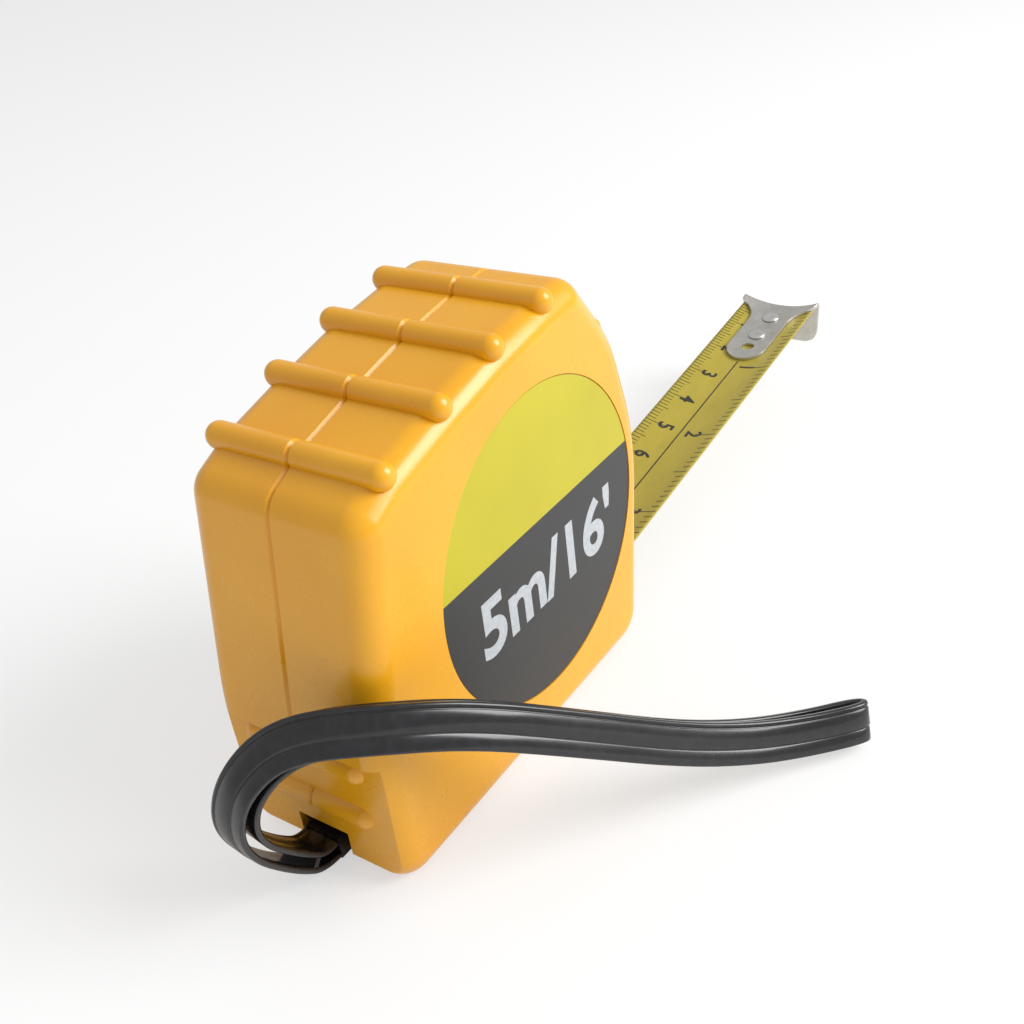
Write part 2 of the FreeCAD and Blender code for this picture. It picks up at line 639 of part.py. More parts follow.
# The strap's middle line, and at each point the direction across its width.
strapMiddle = [
    ((-34.0, 0.0, 2.9), (0, 1, 0)), ((-36.6, 0.0, 2.9), (0, 1, 0)),
    ((-39.6, 0.0, 5.6), (0, 1, 0)), ((-42.8, 0.0, 9.6), (0.05, 1, 0)),
    ((-45.6, -0.1, 14.0), (0.1, 1, 0.05)), ((-46.9, -0.6, 18.9), (0.15, 1, 0.15)),
    ((-45.6, -1.8, 24.0), (0.3, 0.9, 0.35)),
    ((-42.2, -4.6, 28.2), (0.4, 0.75, 0.55)), ((-39.2, -9.0, 30.6), (0.45, 0.5, 0.75)),
    ((-35.4, -15.6, 31.3), (0.48, 0.3, 0.83)), ((-26.4, -23.0, 28.0), (0.49, 0.23, 0.84)),
    ((-15.6, -30.2, 20.6), (0.49, 0.23, 0.84)), ((-3.0, -38.6, 11.6), (0.45, 0.25, 0.86)),
    ((6.0, -44.8, 6.8), (0.35, 0.3, 0.89)), ((13.6, -50.6, 4.6), (0.25, 0.3, 0.92)),
    ((20.6, -57.0, 4.3), (0.2, 0.3, 0.93)),
]


def strapRoute():
    """The loop's points and width directions: out along one layer, round the fold, back along the other."""
    middle = [Vec(*p) for p, w in strapMiddle]
    out, back = [], []
    for i, (p, w) in enumerate(strapMiddle):
        ahead = (middle[min(i + 1, len(middle) - 1)] - middle[max(i - 1, 0)]).normalize()
        across = Vec(*w)
        across = (across - ahead * across.dot(ahead)).normalize()
        face = ahead.cross(across) * size("StrapSpread")
        out.append((middle[i] + face, across))
        back.append((middle[i] - face, across))
    return out + back[::-1]


def strapPath():
    """Straight runs joined by tangent arcs, as stations: place, direction and width direction."""
    route = strapRoute()
    points = [p for p, w in route]
    stations = [(points[0], (points[1] - points[0]).normalize(), route[0][1])]
    radii = []
    length = 0.0
    at = points[0]
    for i in range(1, len(points) - 1):
        into, out = points[i] - points[i - 1], points[i + 1] - points[i]
        shorter = min(into.Length, out.Length)
        into.normalize()
        out.normalize()
        turn = into.getAngle(out)
        radius = 0.45 * shorter / math.tan(turn / 2)
        radii.append(radius)
        start = points[i] - into * (0.45 * shorter)
        inward = (out - into * out.dot(into)).normalize()
        centre = start + inward * radius
        steps = max(1, math.ceil(math.degrees(turn) / 15))
        for k in range(steps + 1):
            a = turn * k / steps
            place = centre - inward * (radius * math.cos(a)) + into * (radius * math.sin(a))
            heading = into * math.cos(a) + inward * math.sin(a)
            stations.append((place, heading, route[i][1]))
        length += (start - at).Length + radius * turn
        at = stations[-1][0]
    stations.append((points[-1], (points[-1] - points[-2]).normalize(), route[-1][1]))
    length += (points[-1] - at).Length
    return stations, radii, length


def strap():
    """The flat strap as one closed solid, a section carried along its path."""
    stations, radii, length = strapPath()
    half, thick = size("StrapWidth") / 2, size("StrapThick") / 2
    wires = []
    for place, heading, across in stations:
        across = (across - heading * across.dot(heading)).normalize()
        face = heading.cross(across)
        corners = [place + across * (half * a) + face * (thick * b)
                   for a, b in ((1, 1), (1, -1), (-1, -1), (-1, 1))]
        wires.append(Part.makePolygon(corners + corners[:1]))
    solid = Part.makeLoft(wires, True, True)
    section = 4 * half * thick
    print("strap length", round(length, 1), "volume over section x length",
          round(solid.Volume / (section * length), 3), "radii", [round(r, 1) for r in radii])
    return feature("strap", solid)


def strapAnchor():
    """The strap's moulded eye, which turns on the pin, and the stem both layers leave from."""
    half = "StrapWidth / 2"
    eye = barY("strap_eye", "PinX", "PinZ", "2.2", f"-{half}", half)
    stem = box("strap_stem", ("-34.0", f"-{half}", "PinZ - StrapSpread - StrapThick / 2"),
               ("PinX - 1.2", half, "PinZ + StrapSpread + StrapThick / 2"))
    hole = barY("strap_eye_hole", "PinX", "PinZ", "PinRadius + RunGap", f"-{half} - 1", f"{half} + 1")
    return cut("strap_anchor", fuse("strap_anchor_blank", [eye, stem]), [hole])


def strapPin():
    return barY("strap_pin", "PinX", "PinZ", "PinRadius", "-(NotchHalf + 2)", "NotchHalf + 2")


def strapBridge():
    """The small web moulded between the two layers close to the eye."""
    start, end = Vec(*strapMiddle[1][0]), Vec(*strapMiddle[2][0])
    lean = math.degrees(math.atan2(end.z - start.z, start.x - end.x))
    gap = 2 * size("StrapSpread") - size("StrapThick")
    web = Part.makeBox(0.9, size("StrapWidth") - 0.4, gap,
                       Vec(-0.45, -size("StrapWidth") / 2 + 0.2, -gap / 2))
    return feature("strap_bridge", web, FreeCAD.Placement((start + end) * 0.5, FreeCAD.Rotation(Vec(0, 1, 0), lean)))


# ---------------------------------------------------------------- build and write

pieces = [
    caseShell("case_right", -1), caseShell("case_left", 1), label("label_right", -1), label("label_left", 1),
    caseScrews(), springArbor(), mouthPlate(), lockSpring(), bladeLead(),
    reelBase(), reelCover(), bladeCoil(), mainspring(), springLink(),
    bladeStrip(), endHook(), hookRivets(),
    lockButton(), lockBar(), brakePads(),
    strapPin(), strapAnchor(), strap(), strapBridge(),
]
doc.recompute()

for obj in doc.Objects:
    if {"Invalid", "Error"} & set(obj.State):
        raise RuntimeError(f"{obj.Label} failed: {obj.State}")

os.makedirs("parts", exist_ok=True)
for piece in pieces:
    shape = piece.Shape
    if shape.isNull() or not shape.isValid():
        raise RuntimeError(f"{piece.Label} has no valid shape")
    shape.exportStep(f"parts/{piece.Label}.step")
    print(piece.Label, "solids", len(shape.Solids), "volume", round(shape.Volume, 1))
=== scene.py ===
import bpy
import bmesh
import math
from mathutils import Matrix, Vector


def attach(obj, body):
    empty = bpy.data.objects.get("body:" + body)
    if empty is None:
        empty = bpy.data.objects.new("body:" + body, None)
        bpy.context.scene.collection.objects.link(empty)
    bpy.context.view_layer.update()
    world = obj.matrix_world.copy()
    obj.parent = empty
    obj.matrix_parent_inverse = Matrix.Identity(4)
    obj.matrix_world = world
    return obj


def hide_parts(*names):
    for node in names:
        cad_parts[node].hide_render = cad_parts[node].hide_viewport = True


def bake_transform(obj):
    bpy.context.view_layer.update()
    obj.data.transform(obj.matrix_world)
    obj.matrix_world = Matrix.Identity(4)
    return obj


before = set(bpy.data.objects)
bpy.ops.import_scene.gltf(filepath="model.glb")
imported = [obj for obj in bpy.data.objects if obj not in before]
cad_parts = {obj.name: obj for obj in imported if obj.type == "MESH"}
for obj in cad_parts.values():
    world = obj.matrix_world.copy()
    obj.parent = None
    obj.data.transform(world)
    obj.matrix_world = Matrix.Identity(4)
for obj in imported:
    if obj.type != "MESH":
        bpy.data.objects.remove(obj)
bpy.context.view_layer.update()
mm = 0.001


camera = {
    "place": (-0.10783, -0.09659, 0.12449),
    "aim": (0.01378, -0.00335, 0.03006),
    "roll": 7.4,          # degrees, clockwise
    "lens": 41.5,
    "sensor": 36.0,
}


def addCamera():
    data = bpy.data.cameras.new("studio_camera")
    data.lens, data.sensor_width = camera["lens"], camera["sensor"]
    data.clip_start, data.clip_end = 0.01, 20
    seen = bpy.data.objects.new("studio_camera", data)
    bpy.context.collection.objects.link(seen)
    ahead = (Vector(camera["aim"]) - Vector(camera["place"])).normalized()
    level = ahead.cross(Vector((0, 0, 1))).normalized()
    right = Matrix.Rotation(math.radians(camera["roll"]), 3, ahead) @ level
    up = right.cross(ahead)
    turn = Matrix((right, up, -ahead)).transposed().to_4x4()
    seen.matrix_world = Matrix.Translation(camera["place"]) @ turn
    bpy.context.scene.camera = seen


addCamera()
print("camera set")


def keep(name, mesh, material=None, smooth=True):
    piece = bpy.data.objects.new(name, mesh)
    bpy.context.collection.objects.link(piece)
    if material:
        mesh.materials.clear()
        mesh.materials.append(material)
    for face in mesh.polygons:
        face.use_smooth = smooth
    return piece


def meshFrom(name, points, faces):
    mesh = bpy.data.meshes.new(name)
    mesh.from_pydata([tuple(p) for p in points], [], faces)
    mesh.validate()
    tidy = bmesh.new()
    tidy.from_mesh(mesh)
    bmesh.ops.remove_doubles(tidy, verts=tidy.verts, dist=1e-7)
    bmesh.ops.recalc_face_normals(tidy, faces=tidy.faces)
    tidy.to_mesh(mesh)
    tidy.free()
    return mesh


def settled(source, name):
    graph = bpy.context.evaluated_depsgraph_get()
    mesh = bpy.data.meshes.new_from_object(source.evaluated_get(graph), depsgraph=graph)
    mesh.name = name
    bpy.data.objects.remove(source)
    return mesh


class Nodes:
    def __init__(self, name):
        self.material = bpy.data.materials.new(name)
        self.material.use_nodes = True
        self.tree = self.material.node_tree
        self.shader = self.tree.nodes["Principled BSDF"]
        coords = self.tree.nodes.new("ShaderNodeTexCoord")
        self.place = coords.outputs["Object"]

    def add(self, kind, **inputs):
        node = self.tree.nodes.new("ShaderNode" + kind)
        for key, value in inputs.items():
            name = key.replace("_", " ")
            if isinstance(value, bpy.types.NodeSocket):
                self.tree.links.new(value, node.inputs[name])
            else:
                node.inputs[name].default_value = value
        return node

    def noise(self, scale, detail=3.0, rough=0.55, stretch=None):
        place = self.place
        if stretch:
            mapping = self.add("Mapping", Vector=place, Scale=stretch)
            place = mapping.outputs["Vector"]
        node = self.add("TexNoise", Vector=place, Scale=scale, Detail=detail, Roughness=rough)
        return node.outputs[0]

    def ramp(self, value, low, high, start, end):
        node = self.add("MapRange", Value=value)
        for name, number in (("From Min", low), ("From Max", high), ("To Min", start), ("To Max", end)):
            node.inputs[name].default_value = number
        return node.outputs[0]

    def blend(self, factor, a, b):
        node = self.tree.nodes.new("ShaderNodeMix")
        node.data_type = "RGBA"
        for i, value in ((0, factor), (6, a), (7, b)):
            if isinstance(value, bpy.types.NodeSocket):
                self.tree.links.new(value, node.inputs[i])
            else:
                node.inputs[i].default_value = value if i == 0 else (*value, 1)
        return node.outputs[2]

    def set(self, **inputs):
        for key, value in inputs.items():
            name = key.replace("_", " ")
            if isinstance(value, bpy.types.NodeSocket):
                self.tree.links.new(value, self.shader.inputs[name])
            elif isinstance(value, tuple):
                self.shader.inputs[name].default_value = (*value, 1)
            else:
                self.shader.inputs[name].default_value = value

    def bump(self, height, strength, distance):
        node = self.add("Bump", Height=height, Strength=strength, Distance=distance)
        self.tree.links.new(node.outputs[0], self.shader.inputs["Normal"])


def casePlastic():
    m = Nodes("case_plastic")
    clouds = m.noise(45, 2)
    grain = m.noise(2600, 2)
    colour = m.blend(m.ramp(clouds, 0.3, 0.7, 0, 1), (0.74, 0.335, 0.006), (0.80, 0.385, 0.009))
    m.set(Base_Color=colour, Roughness=m.ramp(m.noise(160, 3), 0.3, 0.7, 0.24, 0.32), IOR=1.5,
          Coat_Weight=0.15, Coat_Roughness=0.12)
    m.bump(grain, 0.05, 0.00004)
    return m.material


def labelPrint():
    m = Nodes("label_print")
    parts = m.tree.nodes.new("ShaderNodeSeparateXYZ")
    m.tree.links.new(m.place, parts.inputs[0])
    above = m.ramp(parts.outputs["Z"], 0.03697, 0.03703, 0, 1)
    fine = m.noise(900, 3)
    yellow = m.blend(m.ramp(m.noise(60, 2), 0.3, 0.7, 0, 1), (0.44, 0.385, 0.0015), (0.485, 0.42, 0.002))
    black = m.blend(m.ramp(fine, 0.3, 0.7, 0, 1), (0.016, 0.017, 0.018), (0.022, 0.023, 0.024))
    m.set(Base_Color=m.blend(above, black, yellow), Roughness=m.ramp(fine, 0.3, 0.7, 0.34, 0.42))
    m.bump(m.noise(1500, 2), 0.04, 0.00003)
    return m.material


def printInk(name, low, high, rough=0.4):
    m = Nodes(name)
    fine = m.noise(1200, 3)
    m.set(Base_Color=m.blend(m.ramp(fine, 0.35, 0.65, 0, 1), low, high), Roughness=rough)
    m.bump(fine, 0.03, 0.00002)
    return m.material


def bladePaint():
    m = Nodes("blade_paint")
    worn = m.noise(240, 5, 0.7, (0.35, 1, 1))
    colour = m.blend(m.ramp(worn, 0.35, 0.7, 0, 1), (0.375, 0.30, 0.028), (0.43, 0.345, 0.04))
    streaks = m.noise(1800, 3, 0.6, (0.06, 1, 1))
    m.set(Base_Color=colour, Roughness=m.ramp(streaks, 0.3, 0.7, 0.36, 0.5))
    m.bump(streaks, 0.06, 0.00002)
    return m.material


def steel(name, low, high, roughLow, roughHigh, scale=420):
    m = Nodes(name)
    patches = m.noise(scale, 4, 0.65)
    scratches = m.noise(2400, 3, 0.6, (0.12, 1, 1))
    colour = m.blend(m.ramp(patches, 0.3, 0.7, 0, 1), low, high)
    m.set(Base_Color=colour, Metallic=1.0, Roughness=m.ramp(scratches, 0.3, 0.7, roughLow, roughHigh))
    m.bump(patches, 0.08, 0.00003)
    return m.material


def plastic(name, low, high, rough, scale=900, coat=0.0):
    m = Nodes(name)
    grain = m.noise(scale, 4)
    m.set(Base_Color=m.blend(m.ramp(grain, 0.3, 0.7, 0, 1), low, high),
          Roughness=m.ramp(m.noise(scale / 3, 3), 0.3, 0.7, rough - 0.04, rough + 0.05), Coat_Weight=coat,
          Coat_Roughness=0.15)
    m.bump(grain, 0.08, 0.00004)
    return m.material


def strapVinyl():
    m = Nodes("strap_vinyl")
    scuffs = m.noise(700, 5, 0.65)
    wide = m.noise(90, 3)
    m.set(Base_Color=m.blend(m.ramp(scuffs, 0.45, 0.75, 0, 1), (0.0055, 0.0055, 0.0065), (0.014, 0.015, 0.018)),
          Roughness=m.ramp(wide, 0.3, 0.7, 0.2, 0.32), Coat_Weight=0.25, Coat_Roughness=0.1)
    m.bump(scuffs, 0.12, 0.00005)
    return m.material


finishes = {
    "case_plastic": casePlastic(),
    "label_print": labelPrint(),
    "zinc_steel": steel("zinc_steel", (0.50, 0.485, 0.45), (0.62, 0.605, 0.57), 0.38, 0.52),
    "bright_steel": steel("bright_steel", (0.60, 0.60, 0.59), (0.70, 0.70, 0.69), 0.22, 0.34, 900),
    "spring_steel": steel("spring_steel", (0.24, 0.25, 0.28), (0.34, 0.35, 0.38), 0.25, 0.4, 600),
    "blade_paint": bladePaint(),
    "reel_plastic": plastic("reel_plastic", (0.55, 0.55, 0.53), (0.62, 0.62, 0.60), 0.42),
    "lock_plastic": plastic("lock_plastic", (0.010, 0.010, 0.011), (0.018, 0.018, 0.019), 0.34),
    "brake_rubber": plastic("brake_rubber", (0.014, 0.014, 0.014), (0.022, 0.022, 0.021), 0.65),
    "strap_pvc": strapVinyl(),
}
scaleInk = printInk("scale_ink", (0.016, 0.015, 0.012), (0.03, 0.028, 0.02))
sizeInk = printInk("size_ink", (0.40, 0.425, 0.45), (0.47, 0.495, 0.52))


def finish(piece, slotName, material=None):
    piece.data.materials.clear()
    piece.data.materials.append(material or finishes[slotName])
    return piece


# Every CAD node gets its finish, also those that a finer piece stands for later.
nodeFinish = {
    "case_right": "case_plastic", "case_left": "case_plastic", "label_right": "label_print",
    "label_left": "label_print", "case_screws": "zinc_steel", "spring_arbor": "case_plastic",
    "mouth_plate": "bright_steel", "lock_spring": "spring_steel", "blade_lead": "blade_paint",
    "strap_pin": "bright_steel", "reel_base": "reel_plastic", "reel_cover": "reel_plastic",
    "blade_coil": "blade_paint", "mainspring": "spring_steel", "spring_link": "spring_steel",
    "blade_strip": "blade_paint", "hook_rivets": "bright_steel", "end_hook": "zinc_steel",
    "lock_button": "lock_plastic", "lock_bar": "lock_plastic", "brake_pads": "brake_rubber",
    "strap_anchor": "strap_pvc", "strap": "strap_pvc", "strap_bridge": "strap_pvc",
}
for name, slotName in nodeFinish.items():
    finish(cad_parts[name], slotName)
print("materials made")


# The wrist strap: one flat vinyl strip, folded at its far end, both layers held in the notch.
strap = {
    "width": 6.0 * mm,
    "thick": 1.1 * mm,
    "spread": 1.2 * mm,      # each layer's distance from the middle line
    "round": 0.3 * mm,
    "groove": 0.14 * mm,
    "slit": 0.12 * mm,       # half the groove's floor
    "step": 0.12 * mm,       # the lower band lies this much behind the upper one
    "length": 0.246,
}
# Middle line, and at each point the direction across the width.
strapMiddle = [
    ((-0.0340, 0.0, 0.0029), (0, 1, 0)), ((-0.0366, 0.0, 0.0029), (0, 1, 0)),
    ((-0.0396, 0.0, 0.0056), (0, 1, 0)), ((-0.0428, 0.0, 0.0096), (0.05, 1, 0)),
    ((-0.0456, -0.0001, 0.0140), (0.1, 1, 0.05)), ((-0.0469, -0.0006, 0.0189), (0.15, 1, 0.15)),
    ((-0.0456, -0.0018, 0.0240), (0.3, 0.9, 0.35)), ((-0.0422, -0.0046, 0.0282), (0.4, 0.75, 0.55)),
    ((-0.0392, -0.0090, 0.0306), (0.45, 0.5, 0.75)), ((-0.0354, -0.0156, 0.0313), (0.48, 0.3, 0.83)),
    ((-0.0264, -0.0230, 0.0280), (0.49, 0.23, 0.84)), ((-0.0156, -0.0302, 0.0206), (0.49, 0.23, 0.84)),
    ((-0.0030, -0.0386, 0.0116), (0.45, 0.25, 0.86)), ((0.0060, -0.0448, 0.0068), (0.35, 0.3, 0.89)),
    ((0.0136, -0.0506, 0.0046), (0.25, 0.3, 0.92)), ((0.0206, -0.0570, 0.0043), (0.2, 0.3, 0.93)),
]


def strapRoute():
    middle = [Vector(p) for p, w in strapMiddle]
    out, back = [], []
    for i, (p, w) in enumerate(strapMiddle):
        ahead = (middle[min(i + 1, len(middle) - 1)] - middle[max(i - 1, 0)]).normalized()
        across = Vector(w)
        across = (across - ahead * across.dot(ahead)).normalized()
        face = ahead.cross(across) * strap["spread"]
        out.append((middle[i] + face, across))
        back.append((middle[i] - face, across))
    return out + back[::-1]


def alongNurbs(points):
    curve = bpy.data.curves.new("route", "CURVE")
    curve.dimensions = "3D"
    curve.resolution_u = 12
    spline = curve.splines.new("NURBS")
    spline.points.add(len(points) - 1)
    for point, place in zip(spline.points, points):
        point.co = (*place, 1)
    spline.order_u = 3
    spline.use_endpoint_u = True
    carrier = bpy.data.objects.new("route", curve)
    bpy.context.collection.objects.link(carrier)
    mesh = settled(carrier, "route")
    line = [v.co.copy() for v in mesh.vertices]
    bpy.data.meshes.remove(mesh)
    bpy.data.curves.remove(curve)
    return line


def strapSection():
    # Across the width and out from the middle: grooves and a step on the outer face, edges rounded.
    half, t, r = strap["width"] / 2, strap["thick"] / 2, strap["round"]
    g, low = strap["groove"], strap["step"]
    slit = strap["slit"]
    outer = [(half - r, t), (half - 0.5 * mm, t)]
    for middle in (half - 0.75 * mm, -0.75 * mm):
        after = t if middle > 0 else t - low
        outer += [(middle + 2 * slit, t), (middle + slit, t - g * 0.8), (middle, t - g - low),
                  (middle - slit, after - g * 0.6), (middle - 2 * slit, after)]
    outer += [(-half + 2.6 * r, t - low), (-half + r, t - low - 0.04 * mm)]
    corner = [(-half + 0.3 * r, t - low - 0.3 * r), (-half, t - low - r), (-half, -t + r),
              (-half + 0.3 * r, -t + 0.3 * r), (-half + r, -t)]
    inner = [(-half / 2, -t), (0, -t), (half / 2, -t), (half - r, -t)]
    rim = [(half - 0.3 * r, -t + 0.3 * r), (half, -t + r), (half, t - r), (half - 0.3 * r, t - 0.3 * r)]
    return outer + corner + inner + rim


def makeStrap():
    route = strapRoute()
    line = alongNurbs([p for p, w in route])
    beside = alongNurbs([p + w * (2 * mm) for p, w in route])
    section = strapSection()
    points, faces = [], []
    last = len(line) - 1
    for i, place in enumerate(line):
        heading = (line[min(i + 1, last)] - line[max(i - 1, 0)]).normalized()
        across = beside[i] - place
        across = (across - heading * across.dot(heading)).normalized()
        face = heading.cross(across)
        points += [place + across * a + face * b for a, b in section]
    n = len(section)
    for i in range(last):
        for k in range(n):
            a, b = i * n + k, i * n + (k + 1) % n
            faces.append((a, b, b + n, a + n))
    faces += [tuple(range(n)), tuple(range(last * n, last * n + n))]
    piece = keep("wrist_strap_loop", meshFrom("wrist_strap_loop", points, faces))
    finish(piece, "strap_pvc")
    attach(piece, "wrist_strap")
    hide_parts("strap")
    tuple(line[0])
    run = sum((line[i + 1] - line[i]).length for i in range(last))
    print("strap made, its line is", round(run, 4), "long")


makeStrap()


# The two case shells: the CAD shapes, merged, with smooth rounds and crisp edges.
shells = {"merge": 0.002 * mm, "angle": 30}


def softShell(node, name):
    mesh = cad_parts[node].data.copy()
    work = bmesh.new()
    work.from_mesh(mesh)
    bmesh.ops.remove_doubles(work, verts=work.verts, dist=shells["merge"])
    bmesh.ops.dissolve_degenerate(work, dist=shells["merge"], edges=work.edges)
    for edge in work.edges:
        edge.smooth = edge.calc_face_angle(math.pi) < math.radians(shells["angle"])
    work.to_mesh(mesh)
    work.free()
    carrier = keep(name, mesh)
    even = carrier.modifiers.new("even", "WEIGHTED_NORMAL")
    even.keep_sharp = True
    piece = keep(name, settled(carrier, name))
    finish(piece, "case_plastic")
    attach(piece, "case")
    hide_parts(node)
    print(name, len(piece.data.polygons), "faces")


softShell("case_right", "shell_right")
softShell("case_left", "shell_left")


# Words, as thin solid letters.
def letters(name, words, high, spot, flat, wide=1.0, bold=0.0, thick=0.03 * mm, centre=False):
    curve = bpy.data.curves.new(name, "FONT")
    curve.body = words
    curve.offset = bold
    curve.extrude = 0.5
    curve.resolution_u = 6
    carrier = bpy.data.objects.new(name, curve)
    bpy.context.collection.objects.link(carrier)
    mesh = settled(carrier, name)
    xs, ys = [v.co.x for v in mesh.vertices], [v.co.y for v in mesh.vertices]
    scale = high / (max(ys) - min(ys))
    left = (min(xs) + max(xs)) / 2 if centre else min(xs)
    bottom = (min(ys) + max(ys)) / 2 if centre else min(ys)
    for v in mesh.vertices:
        x, y, z = v.co
        v.co = ((x - left) * scale * wide, (y - bottom) * scale, z * thick)
    mesh.transform(Matrix.Translation(spot) @ flat)
    return mesh


label = {
    "centreX": 5.6 * mm,
    "face": 14.9 * mm,
    "high": 9.9 * mm,
    "baseline": 22.9 * mm,
    "startX": -11.3 * mm,
    "wide": 34.7 * mm,
    "bold": 0.026,
}


def makeSizeWords():
    upright = Matrix.Rotation(math.radians(90), 4, "X")
    for name, side, flat in (("size_words_right", -1, upright),
                             ("size_words_left", 1, Matrix.Rotation(math.radians(180), 4, "Z") @ upright)):
        mesh = letters(name, "5m/16'", label["high"], (0, 0, 0), flat, bold=label["bold"])
        xs = [v.co.x for v in mesh.vertices]
        start = label["startX"] if side < 0 else 2 * label["centreX"] - label["startX"]
        first = min(xs) if side < 0 else max(xs)
        for v in mesh.vertices:
            v.co.x = start + (v.co.x - first) * label["wide"] / (max(xs) - min(xs))
            v.co.z += label["baseline"]
            v.co.y += side * label["face"]
        piece = keep(name, mesh, sizeInk, smooth=False)
        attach(piece, "case")


makeSizeWords()
print("label words made")


# The blade: its own frame has x along the blade towards the hook, z up from its upper face.
blade = {
    "zero": (126 * mm, 0, 18 * mm),
    "rise": 11.5 / 94.1,
    "width": 16 * mm,
    "dish": 1.5 * mm,
    "thick": 0.25 * mm,
    "front": -1.5 * mm,
    "inner": -124.0 * mm,
    "lift": 0.012 * mm,      # how far the print stands above the paint
    "joined": -3 * mm,       # start of the blade's front part, next to the hook
    "columns": 20,
    "rows": 120,
}
bladeTurn = Matrix.Rotation(-math.atan(blade["rise"]), 4, "Y")
bladePlace = Matrix.Translation(blade["zero"]) @ bladeTurn
dishRadius = ((blade["width"] / 2) ** 2 + blade["dish"] ** 2) / (2 * blade["dish"])


def dishHeight(y):
    return dishRadius - math.sqrt(dishRadius ** 2 - y * y)


def followBlade(piece):
    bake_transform(piece)


def makeBlade():
    columns, rows = blade["columns"], blade["rows"]
    points, faces = [], []
    for i in range(rows + 1):
        x = blade["inner"] + (blade["front"] - blade["inner"]) * i / rows
        for k in range(columns + 1):
            y = blade["width"] * (k / columns - 0.5)
            points.append(bladePlace @ Vector((x, y, dishHeight(y))))
    for i in range(rows):
        for k in range(columns):
            a = i * (columns + 1) + k
            faces.append((a, a + columns + 1, a + columns + 2, a + 1))
    mesh = bpy.data.meshes.new("blade")
    mesh.from_pydata([tuple(p) for p in points], [], faces)
    carrier = keep("blade", mesh)
    if mesh.polygons[0].normal.z < 0:
        mesh.flip_normals()
    wall = carrier.modifiers.new("wall", "SOLIDIFY")
    wall.thickness, wall.offset = blade["thick"], -1
    piece = keep("tape_blade", settled(carrier, "tape_blade"))
    piece.data.shade_smooth()
    finish(piece, "blade_paint")
    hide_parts("blade_strip")
    followBlade(piece)


makeBlade()


def newTree(name, inputs):
    tree = bpy.data.node_groups.new(name, "GeometryNodeTree")
    for title, kind in inputs:
        tree.interface.new_socket(name=title, in_out="INPUT", socket_type="NodeSocket" + kind)
    tree.interface.new_socket(name="Geometry", in_out="OUTPUT", socket_type="NodeSocketGeometry")
    return tree, tree.nodes.new("NodeGroupInput"), tree.nodes.new("NodeGroupOutput")


def wired(tree, kind, links=(), **settings):
    node = tree.nodes.new(kind)
    for key, value in settings.items():
        setattr(node, key, value)
    for socket, value in links:
        target = node.inputs[socket]
        if isinstance(value, bpy.types.NodeSocket):
            tree.links.new(value, target)
        else:
            target.default_value = value
    return node


def calc(tree, operation, a, b=0.0):
    return wired(tree, "ShaderNodeMath", [(0, a), (1, b)], operation=operation).outputs[0]


def runTree(name, tree, values):
    base = bpy.data.meshes.new(name)
    carrier = bpy.data.objects.new(name, base)
    bpy.context.collection.objects.link(carrier)
    modifier = carrier.modifiers.new("nodes", "NODES")
    modifier.node_group = tree
    for item in tree.interface.items_tree:
        if item.in_out == "INPUT" and item.name in values:
            modifier[item.identifier] = values[item.name]
    return settled(carrier, name)


